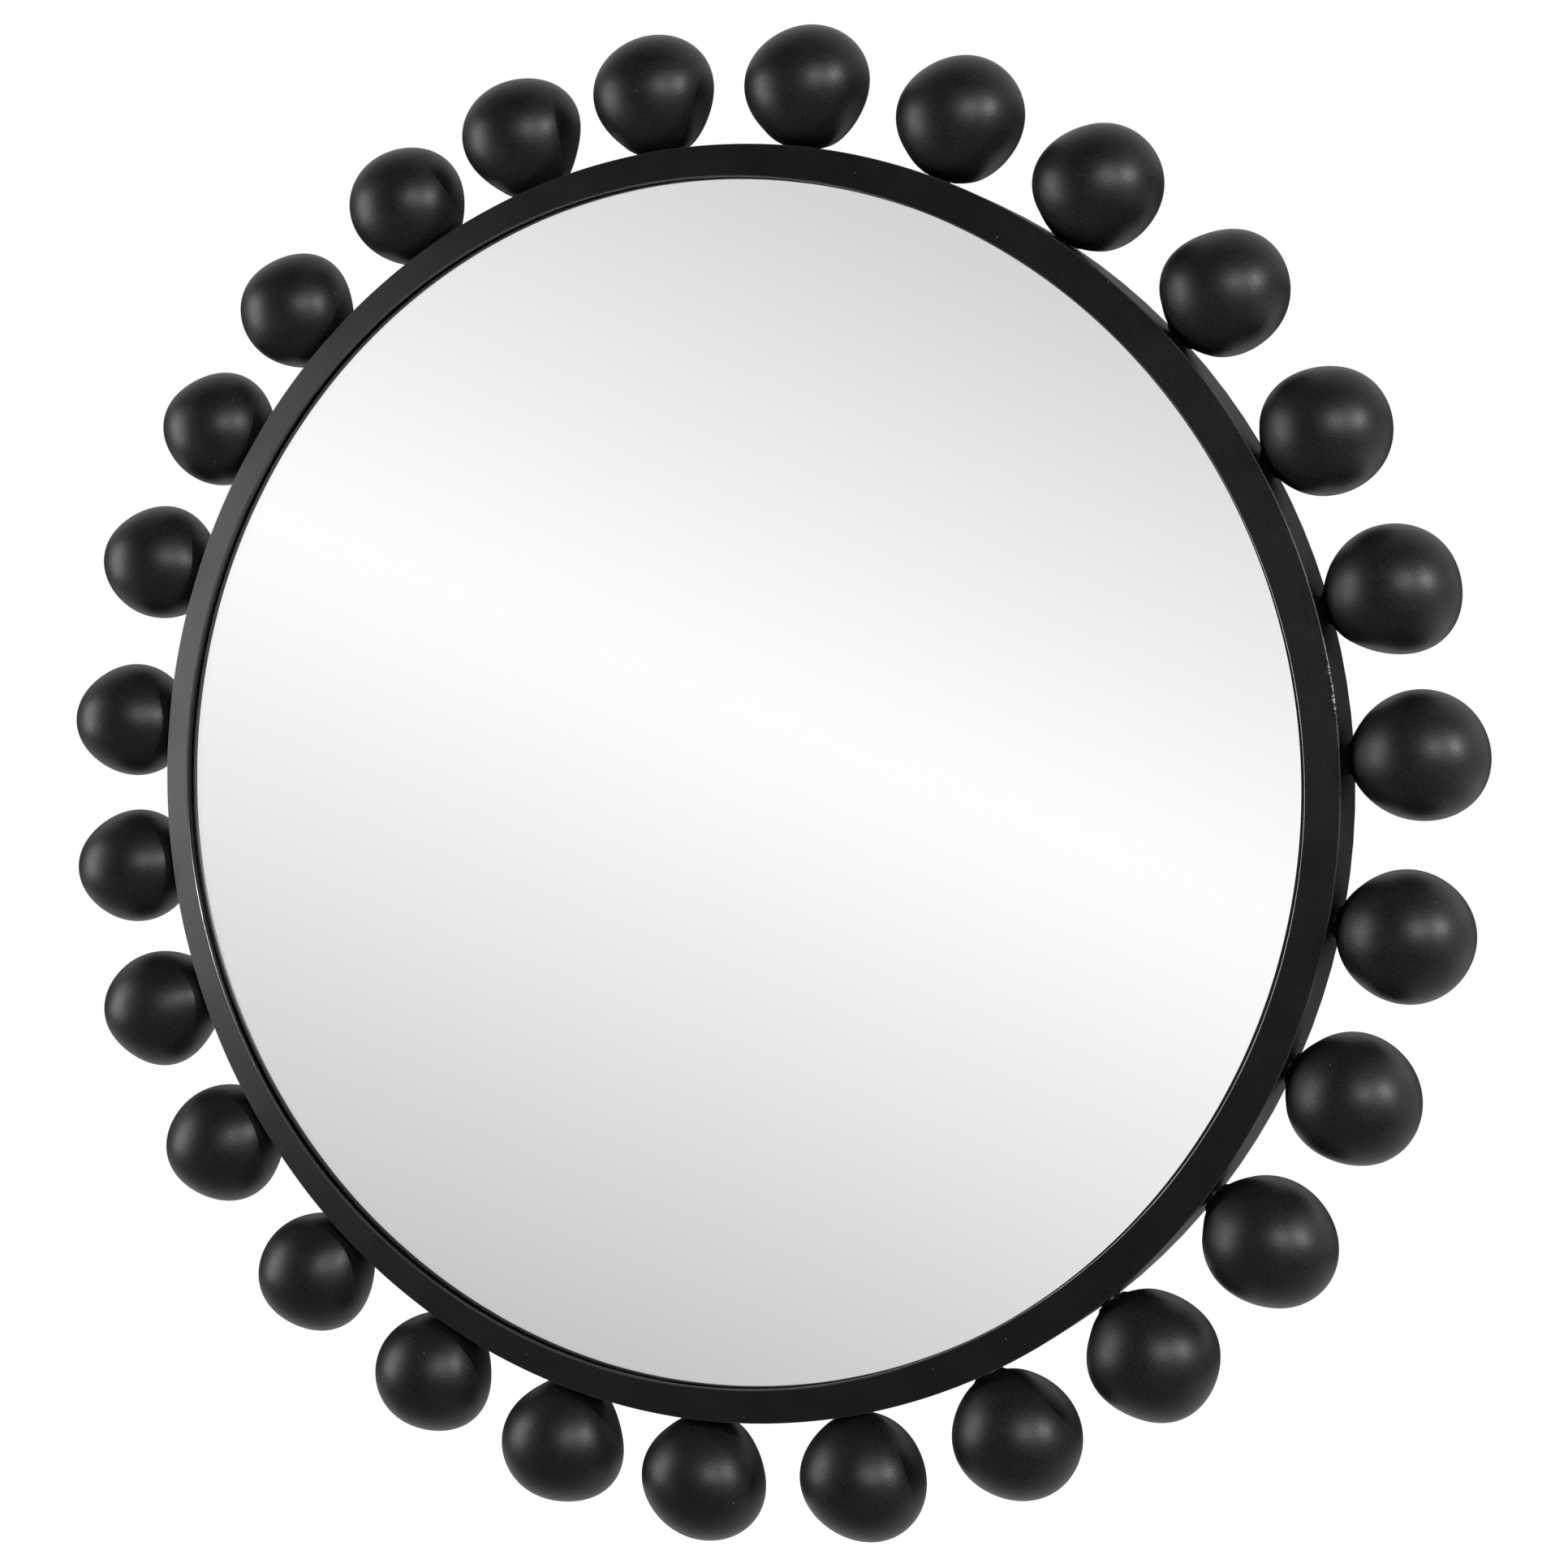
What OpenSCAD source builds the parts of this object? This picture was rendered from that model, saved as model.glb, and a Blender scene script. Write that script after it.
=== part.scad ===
// Round wall mirror: a flat iron face, a rolled iron band behind it, and a ring of hollow iron balls
// screwed round the band. Millimetres. X runs right, Y into the wall and Z up, seen from the room.
// The origin is the centre of the band's rear edge, on the axis of the ring.

/* [Iron frame] */
// Outside diameter of the face and of the band behind it
frame_od = 830; // [700:5:1000]
// Width of the flat face, from its outer edge to its inner edge
face_w = 22.5; // [16:0.5:40]
// Thickness of the face plate
face_t = 2; // [1.5:0.5:4]
// Radius that rounds the two front edges of the face
arris_r = 0.8; // [0.3:0.1:1.2]
// Width of the strip that the band is rolled from, front to back
band_w = 40; // [34:1:60]
// Thickness of the band
band_t = 3; // [2:0.5:5]
// Side of the weld bead in the corner of face and band
weld_leg = 2.5; // [1.5:0.5:4]
// Length of one stitch of weld
weld_length = 36; // [20:2:60]
// Number of weld stitches
weld_count = 18; // [9:1:24]

/* [Balls] */
// Number of balls round the band
ball_count = 27; // [18:1:27]
// Outside diameter of a ball
ball_d = 80; // [60:1:90]
// Wall of a hollow ball
ball_wall = 1.5; // [1:0.1:3]
// Width of the flat nose that a ball sits on
nose_d = 16; // [14:0.5:26]
// How far its nose holds the round of an even ball off the collar
nose_l = 1.5; // [0.5:0.5:4]
// How far the balls stray from even spacing: 0 is even, 1 is as set by eye
spacing_stray = 1; // [0:0.1:1.5]
// How far they stray from even reach and size: 0 is even, 1 is as made by hand
form_stray = 1; // [0:0.1:1]

/* [Ball fixings] */
// Diameter of the screw that holds a ball
ball_screw_d = 6; // [4:0.5:8]
// Length of that screw under its head
ball_screw_l = 20; // [16:1:26]
// Diameter of its button head
ball_head_d = 10.5; // [9:0.5:13]
// Height of its button head
ball_head_h = 3.3; // [2.5:0.1:5]
// Width across the flats of the socket in the head
socket_w = 4; // [3:0.5:5]
// Depth of the socket
socket_l = 2; // [1:0.1:2.4]
// Diameter of the washer under the head
washer_d = 12; // [10.5:0.5:16]
// Thickness of the washer
washer_t = 1; // [0.5:0.1:2]
// Diameter of the collar between band and ball
collar_d = 15; // [10:0.5:24]
// Thickness of the collar
collar_t = 1; // [0.5:0.5:6]
// Diameter of the tapped bush that is fixed in the ball's nose
bush_d = 12; // [9:0.5:16]
// Length of the bush
bush_l = 16; // [10:1:24]

/* [Glass and back] */
// How far the black glazing gasket shows inside the face
gasket_lip = 1.2; // [0:0.1:3]
// Thickness of the glazing gasket
gasket_t = 1; // [0.5:0.1:2]
// Thickness of the silvered glass
glass_t = 4; // [3:0.5:6]
// Thickness of the foam sheet behind the glass
foam_t = 1; // [0.5:0.5:4]
// Thickness of the plywood backing board
board_t = 9; // [6:1:15]
// Length of one rubber block that centres glass and board in the band
block_l = 30; // [15:1:60]
// Number of rubber blocks and of retaining tabs
tab_count = 9; // [6:1:9]
// Width of a retaining tab, along the band
tab_w = 20; // [12:1:30]
// Reach of a retaining tab over the board
tab_l = 22; // [16:1:30]
// Height of the leg that is welded to the band
tab_h = 16; // [10:1:22]
// Thickness of a retaining tab
tab_t = 2; // [1:0.5:3]

/* [Hangers] */
// Distance between the two hangers
hanger_span = 460; // [300:10:520]
// Height of the hanging rings' axis above the centre
hanger_z = 200; // [120:5:220]
// Width of a hanger strap
strap_w = 18; // [10:1:24]
// Thickness of a hanger strap
strap_t = 1.5; // [1:0.1:2.5]
// Distance between a strap's two screws
strap_pitch = 18; // [12:1:30]
// Diameter of the wire that a hanging ring is bent from
ring_wire = 4; // [2:0.5:5]
// Straight part of the ring below its bar
ring_leg = 8; // [5:1:20]

/* [Wood screws] */
// Diameter of the wood screws in the board
wood_screw_d = 3.5; // [3:0.5:4.5]
// Diameter of the screw's pan head
wood_head_d = 7; // [6:0.5:9]
// Height of the screw's pan head
wood_head_h = 2.2; // [1.5:0.1:3]
// Width across the cross recess in the head
cross_w = 3.8; // [2:0.1:5]
// Depth of the cross recess
cross_l = 1.2; // [0.5:0.1:1.4]

/* [Hidden] */
// Clearances: round a screw in a through hole, round a thread, a bush or the ring's bar, and
// beside a rubber block
hole_clear = 0.3;
thread_clear = 0.05;
block_clear = 0.1;
// Gap between a welded tab and the hollow side of the band, and between a hanging ring and its strap
weld_gap = 0.05;
ring_clear = 0.3;
// Free space between the weld bead and the glass, and between a ball's screw head and the board
weld_clear = 0.5;
head_clear = 0.75;
// Board left in front of a wood screw, free depth before its point, and how far a rubber block
// stays below the board's rear face
screw_cover = 2;
point_clear = 0.75;
block_set = 1;
// Radius inside the bends of a hanging ring, and free space between the ring and the screw below it
bend_in_r = 0.5;
screw_clear = 2;
// A ball that reaches this near to the corner of its nose needs no cone
nose_least = 0.3;
// Straight rim under the dome of a screw head, and the width of one arm of its cross recess
head_rim = 0.4;
cross_t = 0.9;
// Overlap that makes a cut run past the face it opens
cut = 1;
// Sides of a hexagon socket, and of the circles of the wire, of other pieces and of the large rings
hex = 6;
wire_fn = 32;
$fn = 96;
ring_fn = 180;

// Where each layer starts: the gasket lies against the front of the band, the rest follows it
gasket_y = -band_w;
face_y = gasket_y - face_t;
glass_y = gasket_y + gasket_t;
foam_y = glass_y + glass_t;
board_y = foam_y + foam_t;
rear_y = board_y + board_t;

// Radii
frame_r = frame_od / 2;
face_in_r = frame_r - face_w;
band_in_r = frame_r - band_t;
glass_r = band_in_r - weld_leg - weld_clear;
ball_r = ball_d / 2;
nose_r = nose_d / 2;
// Where the noses of the balls start
seat_x = frame_r + collar_t;
hole_r = ball_screw_d / 2 + hole_clear;
tapped_r = ball_screw_d / 2 + thread_clear;
wood_screw_l = board_t - screw_cover;
// A flat washer touches the hollow side of the band with its rim
washer_x = sqrt(pow(band_in_r, 2) - pow(washer_d / 2, 2));
head_x = washer_x - washer_t;
// The balls sit where their screw heads just clear the backing board
ball_y = rear_y + ball_head_d / 2 + head_clear;

// Place and form of each ball, clockwise from the top: degrees from even spacing, and how far its
// centre stands out and its radius grows
ball_forms = [
    [0.31, -1.8, -0.1], [0, -2.5, 0.1], [0.38, -2.5, -0.2], [0.31, -1.6, -0.9], [0.2, -0.6, -0.4],
    [0.32, 2, -0.2], [1.03, 3.3, -0.2], [0.68, 1.9, 0.6], [0.94, 1.7, 0.3], [1.25, 3.7, 0.3],
    [1.3, 1.8, 1], [1.32, 1.5, 1.1], [0.79, 1.4, 0.9], [-0.1, 1, 1.1], [0.05, 1.1, 1.2],
    [0.07, 1.2, 0.3], [-0.56, 3.5, 0.2], [-1.43, 2.8, 0.7], [-1.42, 6.5, 0], [-0.85, 2, -0.3],
    [-0.52, 1.2, -0.5], [-1.47, 1.5, -0.5], [-1.31, -2.5, -0.9], [-0.81, -1.5, -0.9],
    [-1.33, -1.3, -0.6], [-0.17, -0.9, -0.4], [0.65, -1, -0.5]
];
ball_pitch = 360 / ball_count;
// One ball hangs at the very bottom of the ring, and the first ball is just right of the top
first_angle = 90 - ball_pitch / 2;

function ball_angle(i) = first_angle - i * ball_pitch + spacing_stray * ball_forms[i][0];
function ball_reach(i) = form_stray * ball_forms[i][1];
function round_r(i) = ball_r + form_stray * ball_forms[i][2];
// Tabs stand midway between two balls, spread over the whole ring
function tab_ball(k) = round(k * ball_count / tab_count);
function tab_angle(k) = (ball_angle(tab_ball(k)) + ball_angle(tab_ball(k) + 1)) / 2;
function arc_angle(length, r) = length / r * 180 / PI;
tab_screw_r = band_in_r - tab_t - (tab_l - tab_t) / 2;

// Hangers: the ring's wire turns in the loop, and hangs clear of the strap below it
wire_r = ring_wire / 2;
loop_in_r = wire_r + thread_clear;
loop_out_r = loop_in_r + strap_t;
loop_y = loop_out_r + ring_clear;
ring_bend = wire_r + bend_in_r;
ring_half = strap_w / 2 + ring_bend;
ring_reach = ring_leg + ring_half + wire_r;
strap_screw_z = ring_reach + wood_head_d / 2 + screw_clear;
strap_screws = [strap_screw_z, strap_screw_z + strap_pitch];

two_digits = function(n) n < 10 ? str("0", n) : str(n);
function ball_name(i) = str("ball_", two_digits(i + 1));

// A profile of radius and depth, turned round the mirror's axis
module spin() rotate([-90, 0, 0]) rotate_extrude($fn = ring_fn) children();
// The same profile turned through an angle, centred on the direction of +X
module arc(angle)
    rotate([-90, 0, 0]) rotate([0, 0, -angle / 2])
        rotate_extrude(angle = angle, $fn = ring_fn) children();
// A solid that points along +X, placed at an angle counted from +X towards +Z
module at_angle(a) rotate([0, -a, 0]) children();
// A round bar along +X, and one along +Y
module bar_x(r, x, l) translate([x, 0, 0]) rotate([0, 90, 0]) cylinder(r = r, h = l);
module bar_y(r, y, l) translate([0, y, 0]) rotate([-90, 0, 0]) cylinder(r = r, h = l);
// A flat disc round the mirror's axis
module disc(r, y, t) translate([0, y, 0]) rotate([-90, 0, 0]) cylinder(r = r, h = t, $fn = ring_fn);
// A screw's domed head, standing along +Z on the plane z = 0
module dome_head(r, h) {
    dome_h = h - head_rim;
    dome_r = (pow(r, 2) + pow(dome_h, 2)) / (2 * dome_h);
    intersection() {
        cylinder(r = r, h = h);
        translate([0, 0, h - dome_r]) sphere(r = dome_r);
    }
}

module face_ring() {
    color("#232323")
    spin() translate([face_in_r, face_y]) {
        translate([0, arris_r]) square([face_w, face_t - arris_r]);
        translate([arris_r, 0]) square([face_w - 2 * arris_r, face_t]);
        for (x = [arris_r, face_w - arris_r])
            translate([x, arris_r]) circle(r = arris_r, $fn = wire_fn);
    }
}

module outer_band() {
    color("#1f1f1f")
    difference() {
        spin() translate([band_in_r, gasket_y]) square([band_t, band_w]);
        for (i = [0 : ball_count - 1])
            at_angle(ball_angle(i))
                translate([0, ball_y, 0]) bar_x(hole_r, band_in_r - cut, band_t + 2 * cut);
    }
}

module corner_welds() {
    color("#2b2b2b")
    for (i = [0 : weld_count - 1])
        at_angle(360 * i / weld_count)
            arc(arc_angle(weld_length, band_in_r))
                translate([band_in_r, gasket_y]) polygon([[0, 0], [-weld_leg, 0], [0, weld_leg]]);
}

module glazing_gasket() {
    color("#101010")
    spin()
        translate([face_in_r - gasket_lip, gasket_y])
            square([glass_r - face_in_r + gasket_lip, gasket_t]);
}

module mirror_glass() {
    color("#dfe3e4") disc(glass_r, glass_y, glass_t);
}

module foam_sheet() {
    color("#e8e8e4") disc(glass_r, foam_y, foam_t);
}

// What stands on the board's rear face is drawn with y = 0 there
module on_board() translate([0, rear_y, 0]) children();
// A wood screw's shank hole and the screw itself, along Y, with the head on the plane y
module pilot_hole() {
    depth = wood_screw_l + point_clear;
    bar_y(wood_screw_d / 2 + thread_clear, -depth, depth + cut);
}
module wood_screw(y) {
    difference() {
        union() {
            bar_y(wood_screw_d / 2, -wood_screw_l, wood_screw_l + y + head_rim);
            translate([0, y, 0]) rotate([-90, 0, 0]) dome_head(wood_head_d / 2, wood_head_h);
        }
        for (a = [0, 90])
            translate([0, y + wood_head_h - cross_l, 0]) rotate([0, a, 0])
                translate([-cross_w / 2, 0, -cross_t / 2]) cube([cross_w, cross_l + cut, cross_t]);
    }
}
module at_tabs() {
    for (k = [0 : tab_count - 1]) at_angle(tab_angle(k)) children();
}
module at_strap_screws() {
    for (side = [-1, 1], z = strap_screws)
        translate([side * hanger_span / 2, 0, hanger_z - z]) children();
}

module backing_board() {
    color("#b08d5e")
    difference() {
        disc(glass_r, board_y, board_t);
        on_board() {
            at_tabs() translate([tab_screw_r, 0, 0]) pilot_hole();
            at_strap_screws() pilot_hole();
        }
    }
}

module edge_blocks() {
    block_y = gasket_y + weld_leg + weld_clear;
    color("#3a3a38")
    at_tabs() arc(arc_angle(block_l, glass_r))
        translate([glass_r + block_clear, block_y])
            square([band_in_r - glass_r - 2 * block_clear, rear_y - block_set - block_y]);
}

module retaining_tabs() {
    color("#2b2b2b")
    on_board() at_tabs() difference() {
        arc(arc_angle(tab_w, band_in_r)) {
            translate([band_in_r - tab_l, 0]) square([tab_l - weld_gap, tab_t]);
            translate([band_in_r - tab_t, 0]) square([tab_t - weld_gap, tab_h]);
        }
        translate([tab_screw_r, 0, 0]) bar_y(wood_screw_d / 2 + hole_clear, -cut, tab_t + 2 * cut);
    }
}

module tab_screws() {
    color("#a9a9a6")
    on_board() at_tabs() translate([tab_screw_r, 0, 0]) wood_screw(tab_t);
}

module at_balls() {
    for (i = [0 : ball_count - 1]) at_angle(ball_angle(i)) translate([0, ball_y, 0]) children();
}

module ball_collars() {
    color("#1c1c1c")
    at_balls() difference() {
        bar_x(collar_d / 2, frame_r, collar_t);
        bar_x(hole_r, frame_r - cut, collar_t + 2 * cut);
    }
}

module ball_bushes() {
    color("#9c9c98")
    at_balls() difference() {
        bar_x(bush_d / 2, seat_x, bush_l);
        bar_x(tapped_r, seat_x - cut, bush_l + 2 * cut);
    }
}

module ball_washers() {
    color("#a9a9a6")
    at_balls() difference() {
        bar_x(washer_d / 2, head_x, washer_t);
        bar_x(hole_r, head_x - cut, washer_t + 2 * cut);
    }
}

module ball_screws() {
    socket_r = socket_w / 2 / cos(180 / hex);
    color("#a9a9a6")
    at_balls() difference() {
        union() {
            translate([head_x, 0, 0]) rotate([0, -90, 0]) dome_head(ball_head_d / 2, ball_head_h);
            bar_x(ball_screw_d / 2, head_x - head_rim, ball_screw_l + head_rim);
        }
        translate([head_x - ball_head_h - cut, 0, 0])
            rotate([0, 90, 0]) cylinder(r = socket_r, h = cut + socket_l, $fn = hex);
    }
}

// A ball's nose, along -X: a cone from the flat seat at -h that runs into the round of radius r
module nose(r, h) {
    corner = norm([h, nose_r]);
    meet = atan(nose_r / h) + 0.75 * acos(min(1, r / corner));
    slope = (r * sin(meet) - nose_r) / (h - r * cos(meet));
    // The cone ends where it lies deepest inside the round
    deep = 90 - atan(slope);
    rise = h - r * cos(deep - meet) * cos(deep);
    if (corner > r + nose_least)
        translate([-h - cut, 0, 0]) rotate([0, 90, 0])
            cylinder(r1 = nose_r - slope * cut, r2 = nose_r + slope * rise, h = rise + cut);
}

// One hollow ball, with a flat seat on its nose and the hole that holds its bush
module ball(i) {
    r = round_r(i);
    in_r = r - ball_wall;
    h = nose_l + ball_r + ball_reach(i);
    color("#1e1e1e")
    at_angle(ball_angle(i)) translate([seat_x + h, ball_y, 0])
        difference() {
            union() {
                sphere(r = r);
                nose(r, h);
            }
            bar_x(ball_r, -h - ball_r, ball_r);
            sphere(r = in_r);
            bar_x(bush_d / 2 + thread_clear, -h - cut, h - in_r + 3 * cut);
        }
}

module hanger_strap(side) {
    color("#b4b4ae")
    on_board() translate([side * hanger_span / 2, 0, hanger_z]) difference() {
        union() {
            translate([-strap_w / 2, loop_y, 0]) bar_x(loop_out_r, 0, strap_w);
            translate([-strap_w / 2, 0, -strap_screws[1]]) cube([strap_w, strap_t, strap_screws[1]]);
            translate([0, 0, -strap_screws[1]]) bar_y(strap_w / 2, 0, strap_t);
        }
        translate([-strap_w / 2 - cut, loop_y, 0]) bar_x(loop_in_r, 0, strap_w + 2 * cut);
        for (z = strap_screws)
            translate([0, 0, -z]) bar_y(wood_screw_d / 2 + hole_clear, -cut, strap_t + 2 * cut);
    }
}

module hanger_screws() {
    color("#a9a9a6")
    on_board() at_strap_screws() wood_screw(strap_t);
}

// A bend of the ring's wire in the plane of X and Z, from the direction of +X round towards -Z
module wire_bend(r, start, angle) {
    rotate([90, 0, 0]) rotate([0, 0, start])
        rotate_extrude(angle = angle) translate([r, 0]) circle(r = wire_r, $fn = wire_fn);
}

module hanger_ring(side) {
    bar_half = ring_half - ring_bend;
    color("#c2c2bc")
    on_board() translate([side * hanger_span / 2, loop_y, hanger_z]) {
        bar_x(wire_r, -bar_half, 2 * bar_half);
        translate([bar_half, 0, -ring_bend]) wire_bend(ring_bend, 0, 90);
        translate([-bar_half, 0, -ring_bend]) wire_bend(ring_bend, 90, 90);
        for (x = [-ring_half, ring_half])
            translate([x, 0, -ring_leg]) cylinder(r = wire_r, h = ring_leg - ring_bend);
        translate([0, 0, -ring_leg]) wire_bend(ring_half, 180, 180);
    }
}

face_ring();
outer_band();
corner_welds();
glazing_gasket();
mirror_glass();
foam_sheet();
backing_board();
edge_blocks();
retaining_tabs();
tab_screws();
ball_collars();
ball_bushes();
ball_washers();
ball_screws();
hanger_strap(-1);  // hanger_strap_left
hanger_strap(1);  // hanger_strap_right
hanger_screws();
hanger_ring(-1);  // hanger_ring_left
hanger_ring(1);  // hanger_ring_right
for (i = [0 : ball_count - 1]) ball(i);
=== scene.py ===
"""Round wall mirror: a black iron ring, a row of 27 hollow iron balls, silvered glass and a boarded back.

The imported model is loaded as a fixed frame, in metres: X to the right, Y into the wall, Z up, with the origin
in the middle of the iron band's rear edge. The classes below stand for the sub-assemblies, the finishes and the
studio.
"""
import logging
import math
from dataclasses import dataclass
from enum import Enum

import bpy
import numpy as np
from mathutils import Matrix, Vector


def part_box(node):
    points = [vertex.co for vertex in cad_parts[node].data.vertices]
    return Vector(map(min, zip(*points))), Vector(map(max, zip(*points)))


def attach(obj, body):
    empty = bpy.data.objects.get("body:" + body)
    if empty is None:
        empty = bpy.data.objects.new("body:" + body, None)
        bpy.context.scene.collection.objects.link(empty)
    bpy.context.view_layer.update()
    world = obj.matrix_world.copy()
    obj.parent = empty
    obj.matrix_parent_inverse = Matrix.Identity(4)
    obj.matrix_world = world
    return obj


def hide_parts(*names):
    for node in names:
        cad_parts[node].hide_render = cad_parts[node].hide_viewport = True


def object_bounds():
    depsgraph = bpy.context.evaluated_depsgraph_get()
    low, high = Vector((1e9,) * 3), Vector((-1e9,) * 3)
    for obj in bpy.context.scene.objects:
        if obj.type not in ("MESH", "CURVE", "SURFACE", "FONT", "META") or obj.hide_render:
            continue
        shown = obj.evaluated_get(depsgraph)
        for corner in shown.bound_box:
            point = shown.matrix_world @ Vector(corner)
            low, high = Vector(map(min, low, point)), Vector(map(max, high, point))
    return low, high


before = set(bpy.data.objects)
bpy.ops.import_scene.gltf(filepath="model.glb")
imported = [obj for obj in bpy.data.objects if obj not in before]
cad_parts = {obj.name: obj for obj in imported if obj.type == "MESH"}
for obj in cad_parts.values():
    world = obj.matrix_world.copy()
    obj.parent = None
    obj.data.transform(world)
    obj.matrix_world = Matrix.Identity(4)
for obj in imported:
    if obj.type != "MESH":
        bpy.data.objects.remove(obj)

bpy.context.view_layer.update()
cad_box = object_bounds()
log = logging.getLogger("round_mirror")

MM = 0.001
Colour = tuple[float, float, float, float]
Pair = tuple[float, float]
Triple = tuple[float, float, float]


class Body(Enum):
    """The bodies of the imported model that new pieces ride; the bodies of the two hanging rings carry none."""
    MIRROR = "mirror"


class Slot(Enum):
    """The record's material slots."""
    IRON = "black_iron"
    BALLS = "black_balls"
    MIRROR = "mirror"
    RUBBER = "black_rubber"
    FOAM = "white_foam"
    PLY = "plywood"
    ZINC = "zinc_steel"


# ---------------- shader maths


class Value:
    """A socket of a node tree that takes part in Python expressions: each operator adds one Math node."""

    def __init__(self, graph: "Graph", socket: bpy.types.NodeSocket) -> None:
        """Keep the tree that the socket belongs to, and the socket."""
        self.graph = graph
        self.socket = socket

    def other(self, output: str) -> "Value":
        """Another output of the same node."""
        return Value(self.graph, self.socket.node.outputs[output])

    def maths(self, operation: str, *terms: "Value | float") -> "Value":
        """The result of a new Math node, whose inputs are the terms in their order."""
        return self.graph.node("ShaderNodeMath", {"operation": operation}, dict(enumerate(terms)))

    def __add__(self, term: "Value | float") -> "Value":
        """This value plus a term."""
        return self.maths("ADD", self, term)

    def __sub__(self, term: "Value | float") -> "Value":
        """This value less a term."""
        return self.maths("SUBTRACT", self, term)

    def __rsub__(self, term: float) -> "Value":
        """A number less this value."""
        return self.maths("SUBTRACT", term, self)

    def __mul__(self, term: "Value | float") -> "Value":
        """This value times a term."""
        return self.maths("MULTIPLY", self, term)

    def __pow__(self, term: "Value | float") -> "Value":
        """This value to a power."""
        return self.maths("POWER", self, term)

    __radd__ = __add__

    def above(self, limit: float) -> "Value":
        """1 where this value is over the limit, and 0 elsewhere."""
        return self.maths("GREATER_THAN", self, limit)

    def most(self, limit: "Value | float") -> "Value":
        """The larger of this value and the limit."""
        return self.maths("MAXIMUM", self, limit)

    def sine(self) -> "Value":
        """The sine of this value."""
        return self.maths("SINE", self)

    def ramp(self, low: float, high: float, start: float = 0.0, end: float = 1.0) -> "Value":
        """Smooth step of this value, from start where it is below low to end where it is above high."""
        inputs = {"Value": self, "From Min": low, "From Max": high, "To Min": start, "To Max": end}
        return self.graph.node("ShaderNodeMapRange", {"interpolation_type": "SMOOTHSTEP"}, inputs)


class Graph:
    """A material's or the world's node tree, filled from Python expressions."""

    def __init__(self, tree: bpy.types.NodeTree) -> None:
        """Start from an empty tree."""
        self.tree = tree
        tree.nodes.clear()

    def node(
        self, kind: str, settings: dict | None = None, inputs: dict | None = None, output: int | str = 0
    ) -> Value | None:
        """Add any node.

        Args:
            kind: Blender's name for the type of node.
            settings: Properties, set first.
            inputs: Numbers, colours or linked values by socket name or index.
            output: Which output is returned.

        Returns:
            The chosen output, or nothing for a node without outputs.
        """
        made = self.tree.nodes.new(kind)
        for name, setting in (settings or {}).items():
            setattr(made, name, setting)
        for name, value in (inputs or {}).items():
            if isinstance(value, Value):
                self.tree.links.new(value.socket, made.inputs[name])
            else:
                made.inputs[name].default_value = value
        return Value(self, made.outputs[output]) if len(made.outputs) else None

    def here(self) -> Value:
        """The surface point in the piece's own coordinates, in metres."""
        return self.node("ShaderNodeTexCoord", output="Object")

    def stored(self, name: str) -> Value:
        """The number that the mesh stores under a name for each of its points."""
        return self.node("ShaderNodeAttribute", {"attribute_name": name}, None, "Fac")

    def mapped(self, place: Value, scale: Triple) -> Value:
        """A place stretched along its axes."""
        return self.node("ShaderNodeVectorMath", {"operation": "MULTIPLY"}, {0: place, 1: scale})

    def noise(
        self, place: Value, size: float, detail: float = 2.0, rough: float = 0.5, twist: float = 0.0
    ) -> Value:
        """Cloudy noise from 0 to 1: its features' size, its finer octaves, their strength and how far it twists."""
        inputs = {"Vector": place, "Scale": 1 / size, "Detail": detail, "Roughness": rough, "Distortion": twist}
        return self.node("ShaderNodeTexNoise", {"noise_dimensions": "3D"}, inputs)

    def cells(self, place: Value, size: float) -> Value:
        """Distance to the nearest scattered point, in cells; the node's Color output differs from cell to cell."""
        inputs = {"Vector": place, "Scale": 1 / size}
        return self.node("ShaderNodeTexVoronoi", {"feature": "F1"}, inputs, "Distance")

    def dots(self, place: Value, size: float, empty: float, radii: Pair) -> Value:
        """Round dots, one in each cell that has any.

        Args:
            place: Where they are read.
            size: Size of a cell, in the units of place.
            empty: Share of the cells without a dot.
            radii: Where a dot starts to fade and where it ends, in cells.

        Returns:
            1 in the middle of a dot and 0 off it.
        """
        cell = self.cells(place, size)
        chosen = self.node("ShaderNodeSeparateColor", None, {"Color": cell.other("Color")}, "Red").above(empty)
        return cell.ramp(radii[0], radii[1], 1.0, 0.0) * chosen

    def mix(self, share: Value | float, first: Value | Colour, second: Value | Colour) -> Value:
        """Two colours mixed: a share of 0 gives the first and 1 the second."""
        return self.node("ShaderNodeMix", {"data_type": "RGBA"}, {0: share, 6: first, 7: second}, 2)

    def bump(self, height: Value, depth: float, under: Value | None = None) -> Value:
        """Bend the normal by a height.

        Args:
            height: The height, from 0 to 1.
            depth: What a height of 1 stands for, in metres.
            under: Another bump that this one lies on.

        Returns:
            The bent normal.
        """
        inputs = {"Height": height, "Distance": depth, "Strength": 1.0}
        if under is not None:
            inputs["Normal"] = under
        return self.node("ShaderNodeBump", None, inputs, "Normal")

    def principled(self, **inputs: Value | float | Colour) -> Value:
        """The main shader; underscores in names stand for spaces."""
        named = {name.replace("_", " "): value for name, value in inputs.items()}
        return self.node("ShaderNodeBsdfPrincipled", None, named)


def grey(level: float, warmth: float = 0.0) -> Colour:
    """A grey as a colour, made warmer (or cooler, below 0) by a share of its level."""
    return (level * (1 + warmth), level, level * (1 - warmth), 1.0)


# ---------------- finishes


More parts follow.
